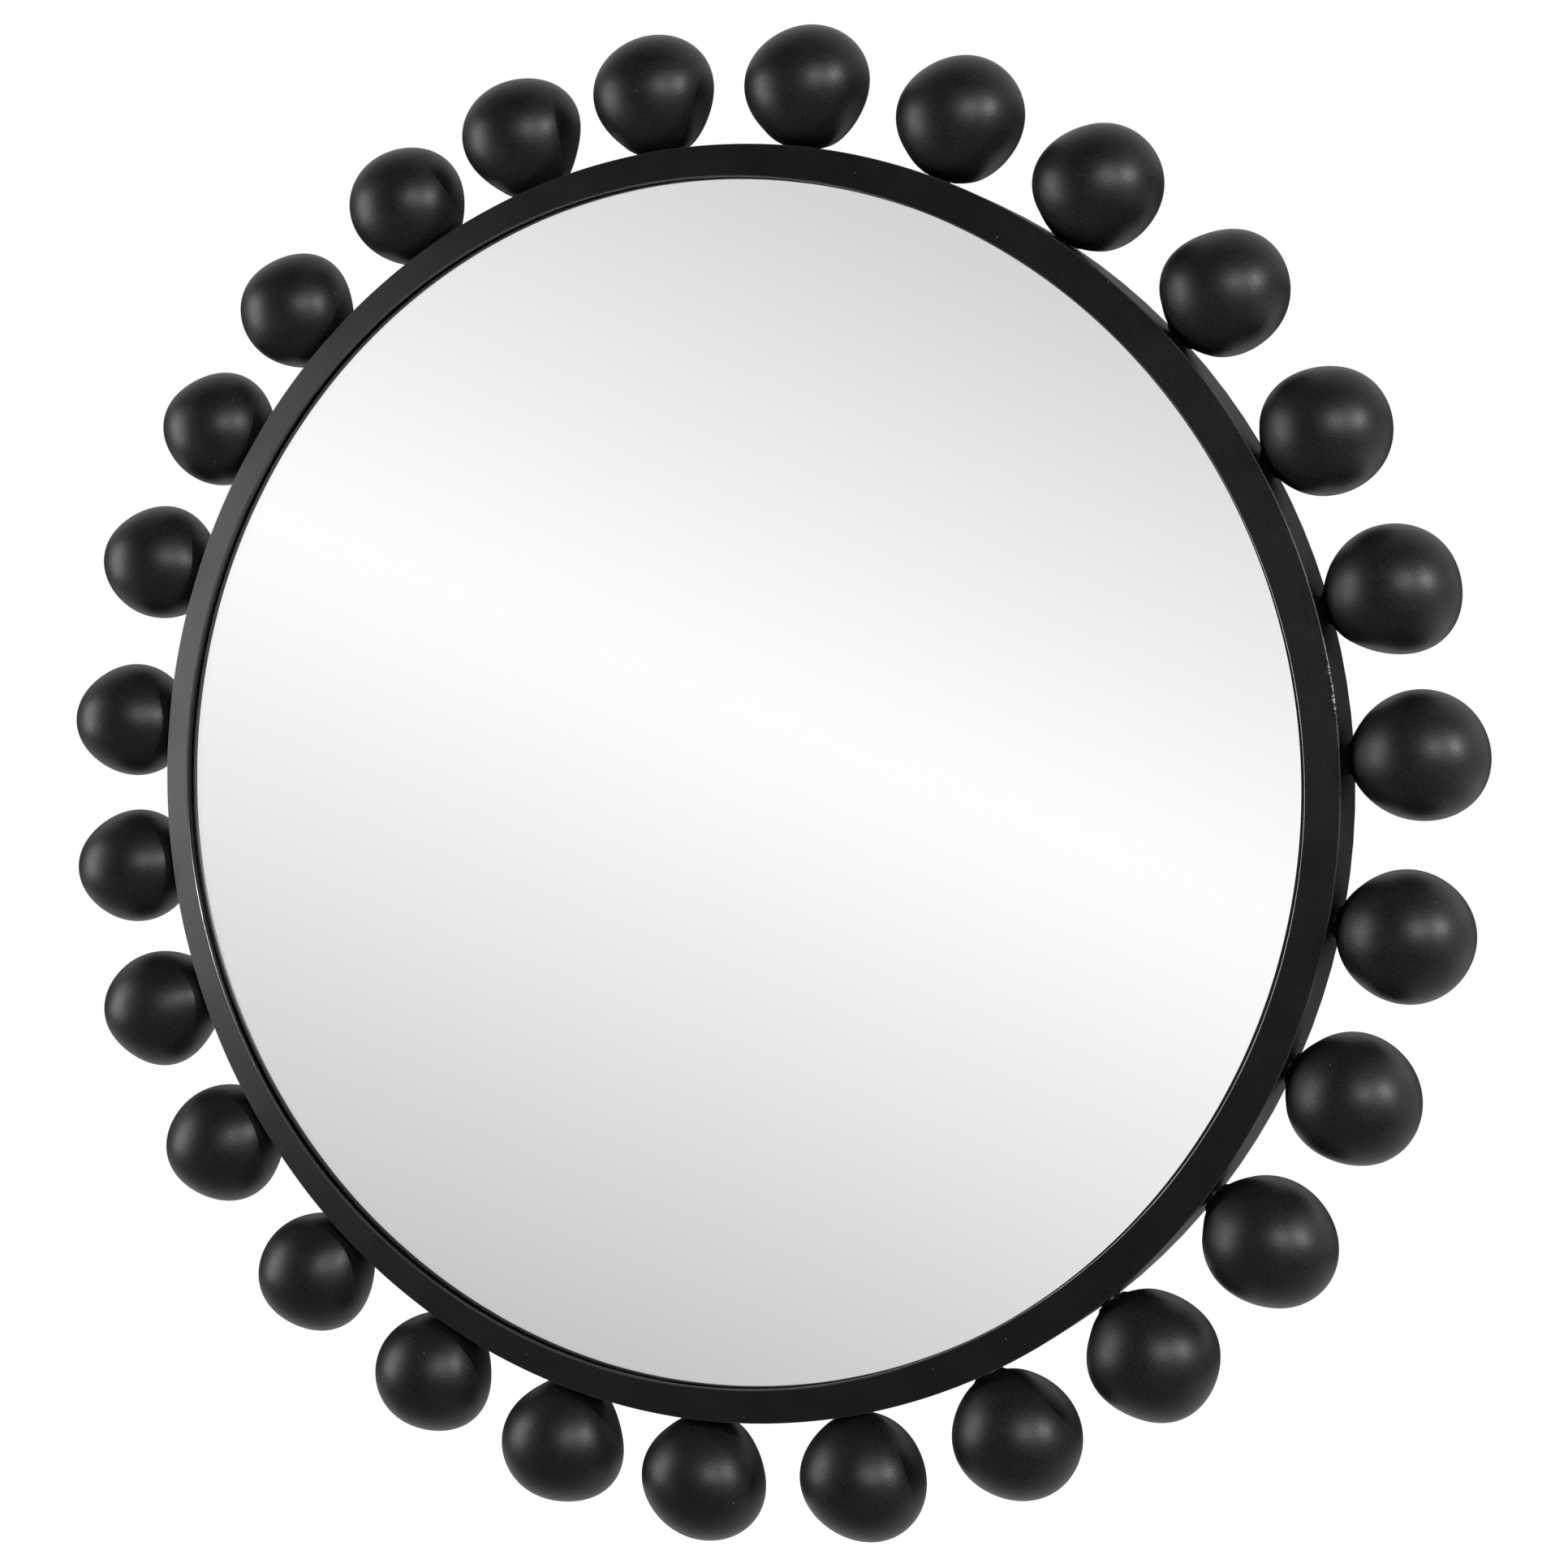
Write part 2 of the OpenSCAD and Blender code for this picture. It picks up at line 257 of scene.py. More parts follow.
@dataclass(frozen=True)
class Finish:
    """What every finish shares: its name, its slot in the record, and how it becomes a material."""
    name: str
    slot: Slot | None

    def shade(self, graph: Graph) -> Value:
        """Build the shader in the material's graph and return it."""
        raise NotImplementedError

    def material(self) -> bpy.types.Material:
        """The finish as a material, made once.

        Returns:
            The material.
        """
        made = bpy.data.materials.get(self.name)
        if made is None:
            made = bpy.data.materials.new(self.name)
            made.use_nodes = True
            graph = Graph(made.node_tree)
            graph.node("ShaderNodeOutputMaterial", None, {"Surface": self.shade(graph)})
        return made


@dataclass(frozen=True)
class BlackCoat(Finish):
    """Satin black coat on iron: orange peel, cloudy sheen, nibs, dust, thin on the arrises, and chipped in places.

    Attribute edge marks the arrises, where the coat is thin, and attribute bare the chips, where iron shows.
    """
    level: float = 0.0022
    rough: float = 0.35
    gloss: float = 0.37
    cloud_size: float = 38 * MM
    speck_size: float = 0.45 * MM
    peel_size: float = 1.1 * MM
    peel_depth: float = 0.025 * MM
    nib_cell: float = 17 * MM
    nib_empty: float = 0.86
    nib_radii: Pair = (0.012, 0.034)
    nib_height: float = 0.22 * MM
    mote_cell: float = 12 * MM
    mote_empty: float = 0.5
    mote_radii: Pair = (0.02, 0.05)
    mote_tone: Colour = grey(0.09)
    thin_tone: Colour = grey(0.14)
    bare_tone: Colour = grey(0.30, 0.02)

    def shade(self, graph: Graph) -> Value:
        """Coat in drifting tones, then dust, thin arrises and bare iron over it, with nibs on the orange peel.

        Args:
            graph: The material's graph.

        Returns:
            The shader.
        """
        here = graph.here()
        cloud = graph.noise(here, self.cloud_size, 3)
        peel = graph.noise(here, self.peel_size, 3, 0.6)
        speck = graph.noise(here, self.speck_size, 1)
        nib = graph.dots(here, self.nib_cell, self.nib_empty, self.nib_radii)
        dust = graph.dots(here, self.mote_cell, self.mote_empty, self.mote_radii)
        worn = (graph.stored("bare") * (0.55 + speck)).ramp(0.45, 0.8)
        thin = graph.stored("edge") * (0.35 + cloud * 0.9) * (1.0 - worn)
        coat = graph.mix(cloud.ramp(0.3, 0.75), grey(self.level * 0.8, 0.05), grey(self.level * 1.25, -0.02))
        coat = graph.mix(speck.ramp(0.62, 0.8) * 0.5, coat, grey(self.level * 2.6))
        coat = graph.mix(peel.ramp(0.4, 0.65) * 0.6, coat, grey(self.level * 2.4))
        coat = graph.mix(dust, coat, self.mote_tone)
        colour = graph.mix(thin, coat, self.thin_tone)
        colour = graph.mix(worn, colour, self.bare_tone)
        sheen = self.rough + (cloud - 0.5) * 0.10 + (speck - 0.5) * 0.06 + (peel - 0.5) * 0.10
        relief = graph.bump(nib, self.nib_height, graph.bump(peel, self.peel_depth))
        return graph.principled(
            Base_Color=colour, Roughness=sheen * (1.0 - thin * 0.5) + worn * 0.2, Metallic=worn * 0.7 + thin,
            Specular_IOR_Level=self.gloss, Normal=relief
        )


@dataclass(frozen=True)
class Silvering(Finish):
    """The silver coat behind the glass: a near-perfect mirror, a trace duller towards the rim."""
    level: float = 0.97
    drift: float = 0.006
    drift_size: float = 180 * MM
    rim_r: float = 407 * MM
    rim_fade: float = 2 * MM
    rim_tone: Colour = grey(0.5, 0.05)

    def shade(self, graph: Graph) -> Value:
        """A metal with the faintest drift of tone.

        Args:
            graph: The material's graph.

        Returns:
            The shader.
        """
        here = graph.here()
        cloud = graph.noise(here, self.drift_size, 1)
        radius = graph.node("ShaderNodeVectorMath", {"operation": "LENGTH"}, {0: here}, "Value")
        tone = graph.mix(cloud, grey(self.level - self.drift), grey(self.level))
        tone = graph.mix(radius.ramp(self.rim_r, self.rim_r + self.rim_fade), tone, self.rim_tone)
        return graph.principled(Base_Color=tone, Metallic=1.0, Roughness=0.0)


@dataclass(frozen=True)
class FloatGlass(Finish):
    """Clear float glass, green only through its thickness."""
    ior: float = 1.52
    drift_size: float = 150 * MM
    tints: tuple[Colour, Colour] = ((0.985, 0.995, 0.989, 1.0), (0.990, 0.997, 0.993, 1.0))

    def shade(self, graph: Graph) -> Value:
        """A clear refracting body with a trace of green."""
        tint = graph.mix(graph.noise(graph.here(), self.drift_size, 1), *self.tints)
        return graph.principled(Base_Color=tint, Roughness=0.0, IOR=self.ior, Transmission_Weight=1.0)


@dataclass(frozen=True)
class Rubber(Finish):
    """Matt black rubber with a fine skin."""
    level: float = 0.008
    skin_size: float = 0.6 * MM
    skin_depth: float = 0.03 * MM
    dust_size: float = 9 * MM

    def shade(self, graph: Graph) -> Value:
        """Cloudy black with a dusty sheen.

        Args:
            graph: The material's graph.

        Returns:
            The shader.
        """
        here = graph.here()
        skin = graph.bump(graph.noise(here, self.skin_size, 2), self.skin_depth)
        dust = graph.noise(here, self.dust_size, 3)
        colour = graph.mix(dust.ramp(0.5, 0.8), grey(self.level), grey(self.level * 2))
        return graph.principled(
            Base_Color=colour, Roughness=0.6 + dust * 0.2, Specular_IOR_Level=0.2, Normal=skin
        )


@dataclass(frozen=True)
class CellFoam(Finish):
    """White closed-cell foam, with painted shade in the bottom of its cells' dimples."""
    cell_size: float = 0.9 * MM
    cell_depth: float = 0.12 * MM
    dimple_shade_tones: tuple[Colour, Colour] = (grey(0.74, 0.01), grey(0.82, 0.01))

    def shade(self, graph: Graph) -> Value:
        """Off-white over the dimples of its cells, with painted shade darkening the bottom of each dimple.

        Args:
            graph: The material's graph.

        Returns:
            The shader.
        """
        cell = graph.cells(graph.here(), self.cell_size)
        # Painted shade: the colour is darkest at the bottom of each dimple, where the bump's height is lowest.
        colour = graph.mix(cell, *self.dimple_shade_tones)
        return graph.principled(Base_Color=colour, Roughness=0.8, Normal=graph.bump(cell, self.cell_depth))


@dataclass(frozen=True)
class BirchPly(Finish):
    """Bare birch plywood: wide soft figure and fine pores along X, and the layers on its edge."""
    layer: float = 1.5 * MM
    edge_r: float = 408.6 * MM
    figure_scale: Triple = (1.4, 1.0, 5.0)
    streak_scale: Triple = (9.0, 60.0, 420.0)
    pore_scale: Triple = (38.0, 200.0, 1500.0)
    figure_tones: tuple[Colour, Colour] = ((0.58, 0.41, 0.245, 1), (0.66, 0.49, 0.31, 1))
    streak_tone: Colour = (0.47, 0.31, 0.17, 1)
    pore_tone: Colour = (0.33, 0.20, 0.10, 1)
    layer_tones: tuple[Colour, Colour] = ((0.36, 0.22, 0.12, 1), (0.60, 0.43, 0.26, 1))
    grain_depth: float = 0.06 * MM

    def shade(self, graph: Graph) -> Value:
        """Figure from bent rings, pores from stretched noise, edge from layers across Y.

        Args:
            graph: The material's graph.

        Returns:
            The shader.
        """
        here = graph.here()
        axes = graph.node("ShaderNodeSeparateXYZ", None, {0: here}, "X")
        bend = graph.noise(graph.mapped(here, self.figure_scale), 1.0, 2, 0.5, 0.6)
        figure = (axes.other("Z") * 22.0 + bend * 26.0).sine() * 0.5 + 0.5
        streak = graph.noise(graph.mapped(here, self.streak_scale), 1.0, 3, 0.6)
        pore = graph.noise(graph.mapped(here, self.pore_scale), 1.0, 2, 0.5)
        wood = graph.mix(figure.ramp(0.1, 0.95), *self.figure_tones)
        wood = graph.mix(streak.ramp(0.35, 0.8) * 0.6, wood, self.streak_tone)
        wood = graph.mix(pore.ramp(0.62, 0.8) * 0.5, wood, self.pore_tone)
        stripe = (axes.other("Y") * (math.pi / self.layer)).sine().ramp(-0.25, 0.25)
        radius = ((axes ** 2.0) + (axes.other("Z") ** 2.0)) ** 0.5
        colour = graph.mix(radius.above(self.edge_r), wood, graph.mix(stripe, *self.layer_tones))
        relief = graph.bump(streak + pore * 0.5, self.grain_depth)
        return graph.principled(
            Base_Color=colour, Roughness=0.62 + streak * 0.12, Specular_IOR_Level=0.3, Normal=relief
        )


@dataclass(frozen=True)
class ZincPlate(Finish):
    """Bright zinc plate: cloudy grey metal with faint crystals."""
    level: float = 0.56
    cloud_size: float = 5 * MM
    crystal_size: float = 1.6 * MM
    crystal_depth: float = 0.01 * MM

    def shade(self, graph: Graph) -> Value:
        """Metal whose tone and gloss drift.

        Args:
            graph: The material's graph.

        Returns:
            The shader.
        """
        here = graph.here()
        cloud = graph.noise(here, self.cloud_size, 3)
        crystal = graph.cells(here, self.crystal_size)
        colour = graph.mix(cloud.ramp(0.25, 0.8), grey(self.level * 0.82, 0.01), grey(self.level * 1.15, -0.015))
        relief = graph.bump(crystal, self.crystal_depth)
        return graph.principled(
            Base_Color=colour, Metallic=1.0, Roughness=0.30 + cloud * 0.14 + crystal * 0.05, Normal=relief
        )


@dataclass(frozen=True)
class FloorPaint(Finish):
    """Plain pale floor: white to the eye, and grey only where the object's shadow falls on it."""
    level: float = 0.80
    lift: float = 0.88
    cloud_size: float = 0.5

    def shade(self, graph: Graph) -> Value:
        """Pale paint, with a little light of its own for the rays that show the background.

        Args:
            graph: The material's graph.

        Returns:
            The shader.
        """
        cloud = graph.noise(graph.here(), self.cloud_size, 3)
        colour = graph.mix(cloud, grey(self.level * 0.98), grey(self.level))
        path = graph.node("ShaderNodeLightPath", None, None, "Is Camera Ray")
        seen = path.most(path.other("Is Glossy Ray")).most(path.other("Is Transmission Ray"))
        glow = graph.mix(seen, grey(0.0), grey(self.lift))
        return graph.principled(
            Base_Color=colour, Roughness=0.9, Specular_IOR_Level=0.1, Emission_Color=glow, Emission_Strength=1.0
        )


@dataclass(frozen=True)
class Palette:
    """All the finishes of the mirror."""
    iron: BlackCoat = BlackCoat("coat_on_flat_iron", Slot.IRON)
    band: BlackCoat = BlackCoat("coat_on_band", Slot.IRON, level=0.003, rough=0.46, gloss=0.10)
    balls: BlackCoat = BlackCoat(
        "coat_on_balls", Slot.BALLS, level=0.0038, rough=0.42, gloss=0.26,
        cloud_size=16 * MM, peel_size=1.4 * MM, peel_depth=0.10 * MM
    )
    silver: Silvering = Silvering("silver_behind_glass", Slot.MIRROR)
    glass: FloatGlass = FloatGlass("clear_float_glass", Slot.MIRROR)
    rubber: Rubber = Rubber("matt_rubber", Slot.RUBBER)
    foam: CellFoam = CellFoam("closed_cell_foam", Slot.FOAM)
    ply: BirchPly = BirchPly("birch_ply", Slot.PLY)
    zinc: ZincPlate = ZincPlate("bright_zinc", Slot.ZINC)
    floor: FloorPaint = FloorPaint("floor_paint", None)


# ---------------- surfaces


def loop_faces(rows: int, columns: int, close_rows: bool = False) -> np.ndarray:
    """Quads of a grid whose columns run round and meet.

    Args:
        rows: Points along the profile.
        columns: Steps round.
        close_rows: Whether the last row meets the first.

    Returns:
        Corner indices, four to a face; point (row, column) is row * columns + column.
    """
    row, column = np.meshgrid(np.arange(rows if close_rows else rows - 1), np.arange(columns), indexing="ij")
    after, beside = (row + 1) % rows, (column + 1) % columns
    corners = [row * columns + column, row * columns + beside, after * columns + beside, after * columns + column]
    return np.stack(corners, -1).reshape(-1, 4)


def cap_faces(row: np.ndarray, pole: int) -> np.ndarray:
    """Triangles from a closed row of points, given by their indices in order, to a pole."""
    return np.stack([row, np.full(len(row), pole), np.roll(row, -1)], -1)


def closed_skin(rows: int, columns: int) -> list[np.ndarray]:
    """Faces of a grid with a pole beyond its first row and one beyond its last, which follow its points."""
    count, first = rows * columns, np.arange(columns)
    return [loop_faces(rows, columns), np.concatenate([
        cap_faces(first[::-1], count), cap_faces(first + count - columns, count + 1),
    ])]


def full_turn(steps: int) -> np.ndarray:
    """Angles of a full turn in even steps, in radians, the last step left open."""
    return np.linspace(0, 2 * np.pi, steps, endpoint=False)


def spun(radius: np.ndarray, depth: np.ndarray, turn: np.ndarray) -> np.ndarray:
    """Points of a profile carried round Y: (radius * cos t, depth, radius * sin t), one to a row."""
    return np.stack([radius * np.cos(turn), depth + 0 * turn, radius * np.sin(turn)], -1).reshape(-1, 3)


def disc(radii: np.ndarray, sides: Pair, steps: int) -> tuple[np.ndarray, list[np.ndarray]]:
    """A thin closed disc across Y: rings (r * cos t, side, r * sin t) out on one side and back on the other.

    Args:
        radii: Radii of the rings, the smallest first.
        sides: Where its two sides lie on Y.
        steps: Steps round.

    Returns:
        Its points, with the two poles last, and its faces.
    """
    turn = full_turn(steps)
    radius = np.concatenate([radii, radii[::-1]])[:, None]
    rings = spun(radius, np.repeat(sides, len(radii))[:, None], turn)
    poles = np.array([[0, side, 0] for side in sides])
    return np.concatenate([rings, poles]), closed_skin(len(radius), steps)


def enclosed(points: np.ndarray, faces: list[np.ndarray]) -> float:
    """Volume inside closed faces: the sum of a . (b x c) / 6 over their triangles.

    Args:
        points: Points, one to a row.
        faces: Groups of faces, each an array of corner indices.

    Returns:
        The volume, negative if the faces look inwards.
    """
    total = 0.0
    for group in faces:
        for k in range(1, group.shape[1] - 1):
            a, b, c = points[group[:, 0]], points[group[:, k]], points[group[:, k + 1]]
            total += float(np.einsum("ij,ij->", a, np.cross(b, c)))
    return total / 6


def new_piece(name: str, points: np.ndarray, faces: list[np.ndarray], crease: float = 35.0) -> bpy.types.Object:
    """Put arrays into a mesh object at the origin, with its faces outwards.

    Args:
        name: The piece's name.
        points: Points in metres, one to a row.
        faces: Groups of faces, each an array of corner indices.
        crease: Angle in degrees over which an edge shades sharp.

    Returns:
        The object, linked into the scene.
    """
    if enclosed(points, faces) < 0:
        faces = [group[:, ::-1] for group in faces]
    sizes = np.concatenate([np.full(len(group), group.shape[1]) for group in faces])
    corners = np.concatenate([group.ravel() for group in faces])
    mesh = bpy.data.meshes.new(name)
    mesh.vertices.add(len(points))
    mesh.vertices.foreach_set("co", points.astype(np.float32).ravel())
    mesh.loops.add(len(corners))
    mesh.loops.foreach_set("vertex_index", corners.astype(np.int32))
    mesh.polygons.add(len(sizes))
    mesh.polygons.foreach_set("loop_start", np.concatenate([[0], np.cumsum(sizes)[:-1]]).astype(np.int32))
    mesh.update(calc_edges=True)
    mesh.validate()
    mesh.polygons.foreach_set("use_smooth", np.ones(len(sizes), bool))
    mesh.set_sharp_from_angle(angle=math.radians(crease))
    piece = bpy.data.objects.new(name, mesh)
    bpy.context.scene.collection.objects.link(piece)
    return piece


def add_field(piece: bpy.types.Object, name: str, values: np.ndarray) -> None:
    """Store one number for each point of a piece, for its material to read."""
    layer = piece.data.attributes.new(name, "FLOAT", "POINT")
    layer.data.foreach_set("value", values.astype(np.float32))


def arc(centre: Pair, radius: float, start: float, end: float, steps: int) -> np.ndarray:
    """Points of an arc: centre + radius * (cos a, sin a), with a from start to end in degrees."""
    angle = np.radians(np.linspace(start, end, steps + 1))
    return np.stack([centre[0] + radius * np.cos(angle), centre[1] + radius * np.sin(angle)], -1)


def between(start: Pair, end: Pair, share: np.ndarray) -> np.ndarray:
    """Points of a straight line: start * (1 - share) + end * share."""
    return np.array(start) * (1 - share[:, None]) + np.array(end) * share[:, None]


def waves(turn: np.ndarray, parts: tuple[Pair, ...]) -> np.ndarray:
    """Waves round a ring: the sum of a * cos(n * turn) + b * sin(n * turn), with (a, b) the nth of the parts."""
    phase, sizes = turn[..., None] * np.arange(1, len(parts) + 1), np.array(parts)
    return np.cos(phase) @ sizes[:, 0] + np.sin(phase) @ sizes[:, 1]


def wander(turn: np.ndarray, orders: tuple[int, int], size: float, rng: np.random.Generator) -> np.ndarray:
    """Smooth drift round a ring: size * sum of cos(n * turn + phase) / sqrt(n), scaled to a typical size of 1.

    Args:
        turn: Angles in radians.
        orders: Lowest and highest number of waves n in a turn.
        size: Typical size of the drift.
        rng: Source of the phases.

    Returns:
        The drift at each angle.
    """
    order = np.arange(orders[0], orders[1] + 1)
    weight = 1 / np.sqrt(order)
    drift = np.cos(turn[..., None] * order + rng.uniform(0, 2 * np.pi, order.size))
    return size * drift @ weight / np.linalg.norm(weight) * math.sqrt(2)


def lumps(points: np.ndarray, spots: np.ndarray, widths: np.ndarray, heights: np.ndarray) -> np.ndarray:
    """Rounded lumps: the sum over spots of height * exp(-(distance / width) ** 2), at each point."""
    distance = np.linalg.norm(points[:, None] - spots[None], axis=2)
    return (heights * np.exp(-((distance / widths) ** 2))).sum(1)


def fit_out(piece: bpy.types.Object, finish: Finish, stands_for: str | None = None) -> None:
    """Finish a new piece of the mirror: its material and body, and hide the CAD node that it stands for.

    Args:
        piece: The new piece.
        finish: Its finish.
        stands_for: Name of the CAD node that it replaces, if any.
    """
    piece.data.materials.append(finish.material())
    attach(piece, Body.MIRROR.value)
    if stands_for:
        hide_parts(stands_for)
    log.info("%s: %d faces, %s", piece.name, len(piece.data.polygons), finish.name)


def dress(node: str, finish: Finish) -> None:
    """Give a CAD node its finish through its object's material slots.

    Args:
        node: Name of the node.
        finish: Its finish.
    """
    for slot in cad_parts[node].material_slots:
        slot.material = finish.material()
    log.info("%s: %s", node, finish.name)


# ---------------- sub-assemblies


@dataclass
class IronFrame:
    """The flat face ring with its worn arrises, the rolled band behind it and the welds in their corner.

    The opening was cut by hand: its radius follows the waves in opening, in millimetres. Chips lie on the outer
    edge between two angles from the right, counted upwards. Rows at the share front_hold keep the arrises sharp.
    """
    palette: Palette
    inner_r: float = 393.75 * MM
    outer_r: float = 415 * MM
    inner_y: float = -43.2 * MM
    outer_y: float = -41.0 * MM
    rear_y: float = -40 * MM
    inner_arris: float = 0.8 * MM
    outer_arris: float = 0.7 * MM
    inner_side: float = 0.4 * MM
    outer_side: float = 0.1 * MM
    front_rows: int = 11
    front_hold: float = 0.01
    arris_rows: tuple[int, int] = (10, 6)
    outer_wear: float = 0.2
    opening: tuple[Pair, ...] = ((-2.27, 0.42), (0.83, -0.41), (0.38, -0.30), (0.39, 0.02))
    chipped_deg: Pair = (7.0, 13.8)
    chip_count: int = 150
    chip_reach: float = 0.9 * MM
    chip_spread: float = 0.5 * MM
    chip_widths: Pair = (0.25, 0.7)
    chip_heights: Pair = (-0.30, 0.45)
    chip_core: float = 1.5 * MM
    chip_margin: float = 0.01
    steps: int = 1000
    fine_steps: int = 260
    seed: int = 41

    def section(self) -> tuple[np.ndarray, np.ndarray, np.ndarray]:
        """Section of the plate, rear inner corner first, then inner side, sloping front and outer side.

        Returns:
            Points (radius, y) with sharp corners, how far the arrises move them, and their wear, from 0 to 1.
        """
        inner_steps, outer_steps = self.arris_rows
        inner = np.tile([self.inner_r, self.inner_y], (inner_steps + 1, 1))
        outer = np.tile([self.outer_r, self.outer_y], (outer_steps + 1, 1))
        hold = self.front_hold
        share = np.concatenate([[hold], np.linspace(0, 1, self.front_rows)[1:-1], [1 - hold]])
        front = between(inner[0], outer[0], share)
        rear = between((self.outer_r, self.rear_y), (self.inner_r, self.rear_y), np.arange(4) / 4)
        inner_side = np.array([[self.inner_r, self.rear_y - self.inner_side]])
        outer_side = np.array([[self.outer_r, self.rear_y - self.outer_side]])
        points = np.concatenate([inner_side, inner, front, outer, outer_side, rear])
        bend = np.concatenate([
            [[0, 0]],
            (arc((0, 0), 1, 180, 270, inner_steps) + [1, 1]) * self.inner_arris,
            np.stack([self.inner_arris * (1 - share) - self.outer_arris * share, 0 * share], -1),
            (arc((0, 0), 1, 270, 360, outer_steps) + [-1, 1]) * self.outer_arris,
            np.zeros((1 + len(rear), 2)),
        ])
        inner_wear = np.sin(np.linspace(0, math.pi, inner_steps + 1)) ** 0.5
        outer_wear = self.outer_wear * np.sin(np.linspace(0, math.pi, outer_steps + 1)) ** 0.5
        wear = np.concatenate([[0], inner_wear, 0 * share, outer_wear, np.zeros(1 + len(rear))])
        return points, bend, wear

    def chip(self, points: np.ndarray, rng: np.random.Generator) -> np.ndarray:
        """Chip the outer edge: points near it move away from the middle of the edge's bar by a sum of lumps.

        Args:
            points: The plate's points, moved in place.
            rng: Source of the chips.

        Returns:
            How bare the iron is at each point, from 0 to 1.
        """
        low, high = np.radians(self.chipped_deg)
        count = self.chip_count
        angle = rng.triangular(low, rng.uniform(low, high), high, count)
        spots = np.stack([
            (self.outer_r - rng.uniform(0, self.chip_reach, count)) * np.cos(angle),
            self.outer_y + np.abs(rng.normal(0, self.chip_spread, count)),
            (self.outer_r - rng.uniform(0, self.chip_reach, count)) * np.sin(angle),
        ], -1)
        widths = rng.uniform(*self.chip_widths, count) * MM
        heights = rng.uniform(*self.chip_heights, count) * MM
        bearing = np.arctan2(points[:, 2], points[:, 0])
        near = np.flatnonzero((bearing > low - self.chip_margin) & (bearing < high + self.chip_margin))
        away = points[near] - np.array([0, self.outer_y + self.chip_core, 0])
        core = np.stack([away[:, 0], 0 * away[:, 0], away[:, 2]], -1)
        core *= ((self.outer_r - self.chip_core) / np.linalg.norm(core, axis=1))[:, None]
        outward = away - core
        outward /= np.maximum(np.linalg.norm(outward, axis=1), 1e-6)[:, None]
        points[near] += outward * lumps(points[near], spots, widths, heights)[:, None]
        bare = np.zeros(len(points))
        bare[near] = np.clip(lumps(points[near], spots, widths * 1.1, rng.uniform(0, 1.0, count) ** 2), 0, 1)
        return bare

    def face_ring(self) -> None:
        """Make the plate: its section carried round Y, dished to the outside, with edges and face that drift."""
        rng = np.random.default_rng(self.seed)
        low, high = np.radians(self.chipped_deg)
        fine = np.linspace(low, high, self.fine_steps, endpoint=False)
        turn = np.concatenate([fine, np.linspace(high, low + 2 * np.pi, self.steps, endpoint=False)])
        base, bend, wear = self.section()
        worn = 1 + wander(turn, (3, 60), 0.10, rng)
        radius = base[:, :1] + bend[:, :1] * worn
        depth = base[:, 1:] + bend[:, 1:] * worn
        outside = np.clip((radius - self.inner_r) / (self.outer_r - self.inner_r), 0, 1)
        front = np.clip((self.rear_y - depth) / (self.rear_y - self.inner_y), 0, 1)
        inner_drift = wander(turn, (5, 12), 0.06 * MM, rng)
        outer_drift = wander(turn, (2, 9), 0.04 * MM, rng)
        radius += (1 - outside) * waves(turn, self.opening) * MM
        radius += (1 - outside) * inner_drift + outside * outer_drift
        radius += (1 - outside) * wander(turn, (30, 120), 0.015 * MM, rng)
        depth += front * (wander(turn, (3, 14), 0.03 * MM, rng) + np.abs(wander(turn, (2, 5), 0.02 * MM, rng)))
        points = spun(radius, depth, turn)
        bare = self.chip(points, rng)
        piece = new_piece("face_ring_plate", points, [loop_faces(len(base), len(turn), True)], 50)
        add_field(piece, "bare", bare)
        add_field(piece, "edge", np.repeat(wear, len(turn)))
        fit_out(piece, self.palette.iron, "face_ring")

    def build(self) -> None:
        """Make the face ring and dress the iron nodes of the CAD frame."""
        self.face_ring()
        dress("outer_band", self.palette.band)
        dress("corner_welds", self.palette.iron)


@dataclass
class GlassPack:
    """The glass with its silver coat, and the gasket, foam and rubber blocks round it.

    The gasket was cut by hand: its lip's radius follows the waves in lip, in millimetres.
    """
    palette: Palette
    silver_r: float = 408.7 * MM
    silver_rings: tuple[float, ...] = (0.2, 0.5, 0.8, 0.95, 1.0)
    silver_y: Pair = (-35.05 * MM, -35.01 * MM)
    lip_r: float = 393.64 * MM
    lip_bevel: float = 0.2 * MM
    gasket_r: float = 409 * MM
    gasket_y: Pair = (-40 * MM, -39 * MM)
    lip: tuple[Pair, ...] = ((-3.45, 0.28), (-0.36, -0.05), (0.62, -0.19), (0.26, 0.21))
    steps: int = 256

    def silver_coat(self) -> None:
        """Make the coat, a thin disc just inside the glass's rear face."""
        radii = np.array(self.silver_rings) * self.silver_r
        fit_out(new_piece("silver_coat", *disc(radii, self.silver_y, self.steps)), self.palette.silver)

    def gasket(self) -> None:
        """Make the flat gasket: its section carried round Y, with waves that fade from the lip outwards."""
        turn = full_turn(2 * self.steps)
        front, rear = self.gasket_y
        corners = np.array([
            [self.lip_r, rear], [self.lip_r, 0.5 * (front + rear)], [self.lip_r + self.lip_bevel, front],
            [0.5 * (self.lip_r + self.gasket_r), front], [self.gasket_r, front], [self.gasket_r, rear],
        ])
        inside = (self.gasket_r - corners[:, :1]) / (self.gasket_r - self.lip_r)
        radius = corners[:, :1] + inside * waves(turn, self.lip) * MM
        points = spun(radius, corners[:, 1:], turn)
        piece = new_piece("cut_gasket", points, [loop_faces(len(corners), len(turn), True)])
        fit_out(piece, self.palette.rubber, "glazing_gasket")

    def build(self) -> None:
        """Make the silver coat and the gasket, and dress the layers of the glass."""
        self.silver_coat()
        self.gasket()
        dress("mirror_glass", self.palette.glass)
        dress("edge_blocks", self.palette.rubber)
        dress("foam_sheet", self.palette.foam)


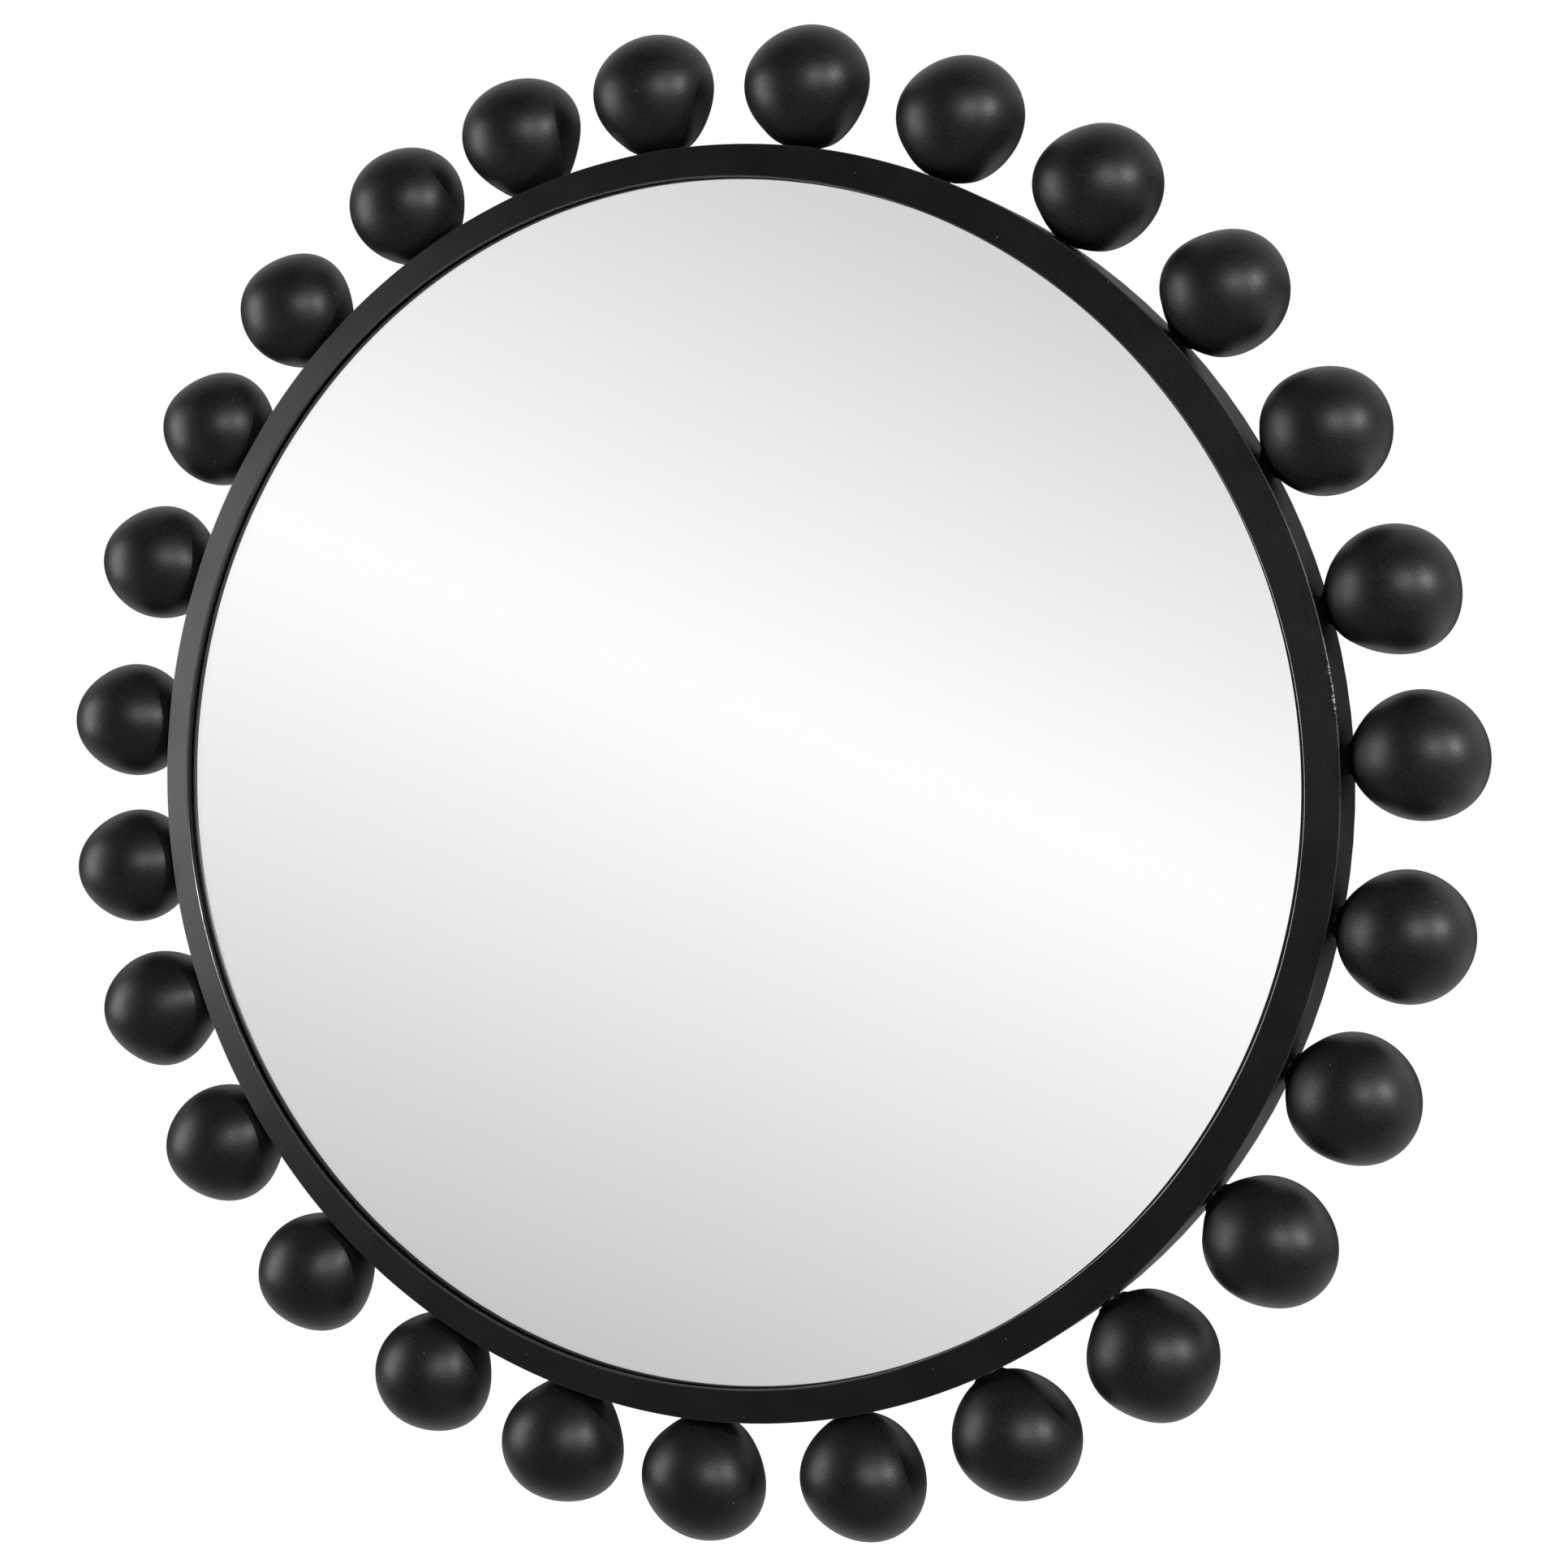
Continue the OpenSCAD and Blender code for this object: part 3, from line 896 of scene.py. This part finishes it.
@dataclass
class BallRow:
    """The 27 hollow balls, each pressed and coated by hand, with the collars and screws that hold them.

    The press is what hand work left in each ball's outline, seen from the front right: how strong the waves
    cos 2t, sin 2t, cos 3t, sin 3t, cos 4t and sin 4t are, in tenths of a millimetre, with t from the outward side.
    Dents are few to a ball, with widths as shares of its radius and depths in millimetres.
    """
    palette: Palette
    seat_r: float = 416 * MM
    boss_r: float = 9.5 * MM
    boss_fillet_deg: float = 4.0
    nose_spread_deg: float = 36.0
    hold_deg: float = 22.0
    wall: float = 1.5 * MM
    hole_r: float = 6.05 * MM
    seen_from: Triple = (0.822, -1.887, 0.084)
    dent_counts: tuple[int, int] = (3, 6)
    dent_widths: Pair = (0.06, 0.17)
    dent_depths: Pair = (0.04, 0.16)
    steps: int = 96
    outer_rows: int = 74
    fillet_rows: int = 4
    inner_rows: int = 12
    seed: int = 700
    press: tuple[tuple[int, ...], ...] = (
        (0, 7, -6, 9, 2, -3), (0, 6, 0, 7, 2, -3), (-4, 7, 6, 6, -1, -4), (1, 5, 8, 3, -1, -5),
        (0, 4, 5, 0, -2, -3), (-2, 8, -5, 0, -1, -3), (0, 5, 1, 3, -2, 0), (0, 0, 0, 1, 0, -2),
        (1, 2, 6, 4, -3, 0), (4, -3, 10, 0, -2, 1), (2, -4, 4, -2, 2, 6), (1, -7, 1, -4, 2, 1),
        (1, -9, 2, -8, 0, 1), (-1, -10, -4, -9, 0, 4), (-3, -4, -13, -3, 2, 5), (-2, -4, -10, 0, 2, 4),
        (-2, -2, -7, 2, 0, 4), (1, -1, -2, 7, 2, 3), (0, -3, -3, 7, 4, 3), (2, -2, 6, 1, 2, 2),
        (2, 0, 7, -4, 2, -1), (0, -1, 1, -7, 3, -1), (-1, 1, -4, -8, 2, -3), (0, 1, -11, -3, 2, -4),
        (-1, 3, -10, -1, 2, -2), (-1, 3, -17, 2, 4, -3), (-1, 5, -10, 7, 2, -2),
    )

    def place(self, node: str) -> tuple[np.ndarray, float]:
        """Where a ball's round part lies, from the outer sides of its CAD node's box.

        Args:
            node: The ball's node.

        Returns:
            Its centre and its radius.
        """
        low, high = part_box(node)
        radius = (high.y - low.y) / 2
        x = high.x - radius if high.x + low.x > 0 else low.x + radius
        z = high.z - radius if high.z + low.z > 0 else low.z + radius
        return np.array([x, low.y + radius, z]), radius

    def hand_form(self, number: int, centre: np.ndarray, way: np.ndarray) -> np.ndarray:
        """How far hand work moves the skin of a ball outwards.

        With u and w the parts of a direction along the outline's outward and clockwise axes, each wave of order n
        is the real or imaginary part of (u + i w) to the power n.

        Args:
            number: The ball's number, from 1.
            centre: Its centre.
            way: Directions from its centre.

        Returns:
            Distances in metres.
        """
        sight = centre - np.array(self.seen_from)
        sight /= np.linalg.norm(sight)
        out = np.array([centre[0], 0, centre[2]])
        outward = out - (out @ sight) * sight
        outward /= np.linalg.norm(outward)
        plane = way @ outward + 1j * (way @ np.cross(sight, outward))
        parts = self.press[number - 1]
        form = sum(
            parts[2 * k] * (plane ** (k + 2)).real + parts[2 * k + 1] * (plane ** (k + 2)).imag for k in range(3)
        )
        return form * 0.1 * MM

    @staticmethod
    def keep_in(points: np.ndarray, centre: np.ndarray) -> np.ndarray:
        """Shrink each half of a ball that passes the box of the CAD part, so that it ends at that box.

        Args:
            points: The ball's points.
            centre: Its centre.

        Returns:
            The points, each half along each axis scaled from the centre.
        """
        low, high = (np.array(corner) for corner in cad_box)
        above = np.minimum((high - centre) / (points.max(0) - centre), 1)
        below = np.minimum((centre - low) / (centre - points.min(0)), 1)
        return centre + (points - centre) * np.where(points > centre, above, below)

    def ball(self, number: int) -> None:
        """Make one hollow ball with a flat nose, turned round its outward axis and then shaped by hand.

        A point is centre + r(q) * (-cos q * out + sin q * (cos t * along + sin t * back)), with q from the nose's
        axis. The round's radius R swells towards the nose to R + E * exp(-(q / spread) ** 2), where E is what the
        seat's distance h has over R. A fillet, the square of the way through it, leads from there to the boss,
        which lies on the seat, r = h / cos q. The outer skin runs from the far pole to the rim of the bush's hole,
        and the inner skin, one wall further in, back to the pole.

        Args:
            number: The ball's number, from 1.
        """
        node = f"ball_{number:02d}"
        rng = np.random.default_rng(self.seed + number)
        centre, round_r = self.place(node)
        bearing, height = math.atan2(centre[2], centre[0]), math.hypot(centre[0], centre[2]) - self.seat_r
        out = np.array([math.cos(bearing), 0, math.sin(bearing)])
        along = np.array([-math.sin(bearing), 0, math.cos(bearing)])
        back = np.array([0, 1.0, 0])
        rim, hole = math.atan(self.boss_r / height), math.atan(self.hole_r / height)
        foot = rim + math.radians(self.boss_fillet_deg)
        inner_r = round_r - self.wall
        outer = np.concatenate([
            np.linspace(math.pi, foot, self.outer_rows + 1)[1:],
            np.linspace(foot, rim, self.fillet_rows + 1)[1:],
            [hole],
        ])
        inner = np.linspace(math.asin(self.hole_r / inner_r), math.pi, self.inner_rows + 1)[:-1]
        skin = round_r + max(height - round_r, 0) * np.exp(-((outer / math.radians(self.nose_spread_deg)) ** 2))
        fillet = np.clip((foot - outer) / (foot - rim), 0, 1) ** 2
        seat = height / np.cos(np.minimum(outer, foot))
        skin += fillet * (seat - skin)
        polar = np.concatenate([outer, inner])[:, None]
        radius = np.concatenate([skin, np.full(len(inner), inner_r)])[:, None]
        turn = full_turn(self.steps)
        way = (
            -np.cos(polar)[..., None] * out
            + np.sin(polar)[..., None] * (np.cos(turn)[:, None] * along + np.sin(turn)[:, None] * back)
        )
        hold = np.clip((polar - foot) / math.radians(self.hold_deg), 0, 1) ** 2
        dents = rng.integers(*self.dent_counts)
        spots = rng.normal(size=(dents, 3))
        spots /= np.linalg.norm(spots, axis=1)[:, None]
        flat_way = way.reshape(-1, 3)
        widths = rng.uniform(*self.dent_widths, dents)
        pressed = lumps(flat_way, spots, widths, rng.uniform(*self.dent_depths, dents) * MM)
        shaped = self.hand_form(number, centre, flat_way) - pressed
        radius = radius + hold * shaped.reshape(len(polar), self.steps)
        rings = (radius[..., None] * way).reshape(-1, 3)
        far = self.hand_form(number, centre, out[None])[0]
        points = np.concatenate([rings, np.stack([out * (round_r + far), out * (inner_r + far)])]) + centre
        piece = new_piece(f"iron_{node}", self.keep_in(points, centre), closed_skin(len(polar), self.steps))
        fit_out(piece, self.palette.balls, node)

    def build(self) -> None:
        """Make every ball and dress what holds it."""
        for number in range(1, len(self.press) + 1):
            self.ball(number)
        dress("ball_collars", self.palette.iron)
        for node in ("ball_bushes", "ball_washers", "ball_screws"):
            dress(node, self.palette.zinc)


@dataclass
class BackBoard:
    """The plywood back with the tabs and screws that hold it."""
    palette: Palette

    def build(self) -> None:
        """Dress the board and its fixings."""
        dress("backing_board", self.palette.ply)
        dress("retaining_tabs", self.palette.iron)
        dress("tab_screws", self.palette.zinc)


@dataclass
class Hangers:
    """The two straps and their swinging rings."""
    palette: Palette
    sides: tuple[str, str] = ("left", "right")

    def build(self) -> None:
        """Dress the straps, their screws and the rings."""
        for side in self.sides:
            dress(f"hanger_strap_{side}", self.palette.zinc)
            dress(f"hanger_ring_{side}", self.palette.zinc)
        dress("hanger_screws", self.palette.zinc)


# ---------------- studio


@dataclass(frozen=True)
class SoftBox:
    """A soft lamp: a lit rectangle that faces the mirror.

    Bearing is counted from straight in front of the mirror, to the right. Level is its light on a surface in the
    middle of the mirror that faces it, where 1 makes white paper white.
    """
    name: str
    bearing: float
    rise: float
    distance: float
    width: float
    height: float
    level: float

    def build(self, aim: Vector) -> None:
        """Make the lamp.

        Args:
            aim: The point that it faces.
        """
        turn, rise = math.radians(self.bearing), math.radians(self.rise)
        way = Vector((math.sin(turn) * math.cos(rise), -math.cos(turn) * math.cos(rise), math.sin(rise)))
        lamp = bpy.data.lights.new(self.name, "AREA")
        lamp.shape = "RECTANGLE"
        lamp.size, lamp.size_y = self.width, self.height
        lamp.energy = self.level * (math.pi * self.distance) ** 2
        placed = bpy.data.objects.new(self.name, lamp)
        placed.location = aim + way * self.distance
        placed.rotation_euler = (-way).to_track_quat("-Z", "Y").to_euler()
        placed.visible_camera = False
        placed.visible_transmission = False
        bpy.context.scene.collection.objects.link(placed)


@dataclass
class Studio:
    """The floor, the soft lamps, the world and the camera.

    Angles are in degrees. The band is a stripe of light across a tilted axis, which the glass mirrors. Satin coats
    mirror room above and room_low below. Behind the wall both see rear_level at eye height and rear further off it.
    """
    palette: Palette
    aim: Triple = (0, -0.04, 0)
    floor_z: float = -1.25
    floor_depth: float = 0.02
    floor_r: float = 6.0
    floor_steps: tuple[int, int] = (12, 128)
    eye: Triple = (0.82229, -1.88680, 0.08433)
    yaw: float = 22.603
    pitch: float = -2.300
    roll: float = 1.275
    lens: float = 71.42
    sensor: float = 36.0
    clip: Pair = (0.05, 60)
    boxes: tuple[SoftBox, ...] = (
        SoftBox("left_soft_box", -67.5, 3.8, 3.1, 1.5, 2.2, 0.87),
        SoftBox("fill_soft_box", 35, 16, 3.9, 1.5, 1.0, 0.62),
        SoftBox("right_panel", 104, 0, 0.95, 0.9, 0.66, 0.15),
        SoftBox("right_lamp", 70, 17, 5.3, 0.12, 0.12, 0.74),
    )
    band: Triple = (0.3126, -0.1516, 0.9378)
    band_peak: float = 1.06
    band_slope: float = 2.25
    band_low: float = 0.26
    band_blur: float = 0.0003
    ambient: float = 0.10
    room: float = 0.06
    room_low: float = 0.24
    room_ramp: Pair = (0.0, 0.7)
    rear: float = 0.9
    rear_level: float = 0.08
    rear_ramp: Pair = (0.12, 0.45)
    behind_ramp: Pair = (-0.35, 0.45)

    def camera(self) -> None:
        """Place the camera: look along yaw and pitch from straight ahead, then roll about the line of sight."""
        yaw, pitch, roll = (math.radians(a) for a in (self.yaw, self.pitch, self.roll))
        ahead = Vector((-math.sin(yaw) * math.cos(pitch), math.cos(yaw) * math.cos(pitch), math.sin(pitch)))
        level = Vector((math.cos(yaw), math.sin(yaw), 0))
        upright = level.cross(ahead)
        right = level * math.cos(roll) + upright * math.sin(roll)
        up = upright * math.cos(roll) - level * math.sin(roll)
        data = bpy.data.cameras.new("photo_camera")
        data.lens, data.sensor_width = self.lens, self.sensor
        data.clip_start, data.clip_end = self.clip
        seat = bpy.data.objects.new("photo_camera", data)
        facing = Matrix((right, up, -ahead)).transposed().to_4x4()
        seat.matrix_world = Matrix.Translation(Vector(self.eye)) @ facing
        bpy.context.scene.collection.objects.link(seat)
        bpy.context.scene.camera = seat

    def world(self) -> None:
        """White behind the object, a soft tilted band of light in its glass, and a dim room in its satin coats."""
        made = bpy.data.worlds.new("studio")
        made.use_nodes = True
        bpy.context.scene.world = made
        graph = Graph(made.node_tree)
        way = graph.node("ShaderNodeTexCoord", output="Generated")
        across = graph.node("ShaderNodeVectorMath", {"operation": "DOT_PRODUCT"}, {0: way, 1: self.band}, "Value")
        off_band = (across ** 2.0 + self.band_blur) ** 0.5
        band = (self.band_peak - off_band * self.band_slope).most(self.band_low)
        axes = graph.node("ShaderNodeSeparateXYZ", None, {0: way}, "Y")
        behind = axes.ramp(*self.behind_ramp)
        rear = ((axes.other("Z") ** 2.0) ** 0.5).ramp(*self.rear_ramp, self.rear_level, self.rear)
        path = graph.node("ShaderNodeLightPath", None, None, "Is Camera Ray")
        mirrored = path.other("Is Glossy Ray").most(path.other("Is Transmission Ray"))
        sharp = path.other("Is Singular Ray")
        room = (axes.other("Z") * -1.0).ramp(*self.room_ramp, self.room, self.room_low)
        front = sharp * band + (1.0 - sharp) * room
        seen = front + (rear - front) * behind
        light = mirrored * seen + (1.0 - mirrored) * self.ambient
        light = path + (1.0 - path) * light
        background = graph.node("ShaderNodeBackground", None, {"Color": grey(1.0), "Strength": light})
        graph.node("ShaderNodeOutputWorld", None, {"Surface": background})

    def floor(self) -> None:
        """Make the floor, a wide thin disc with the disc's Y as its height."""
        rings, steps = self.floor_steps
        levels = (self.floor_z, self.floor_z - self.floor_depth)
        points, faces = disc(np.linspace(0.05, 1, rings) * self.floor_r, levels, steps)
        piece = new_piece("floor", points[:, [0, 2, 1]], faces)
        piece.data.materials.append(self.palette.floor.material())
        piece.visible_glossy = False
        piece.visible_transmission = False

    def build(self) -> None:
        """Set up the whole studio and the plain view transform."""
        self.camera()
        self.world()
        self.floor()
        for box in self.boxes:
            box.build(Vector(self.aim))
        bpy.context.scene.view_settings.view_transform = "Standard"
        log.info("studio: %d soft boxes, floor at %.2f m", len(self.boxes), self.floor_z)


def main() -> None:
    logging.basicConfig(level=logging.INFO, format="%(name)s %(message)s")
    palette = Palette()
    Studio(palette).build()
    IronFrame(palette).build()
    GlassPack(palette).build()
    BallRow(palette).build()
    BackBoard(palette).build()
    Hangers(palette).build()
    bpy.context.view_layer.update()


if __name__ == "__main__":
    main()
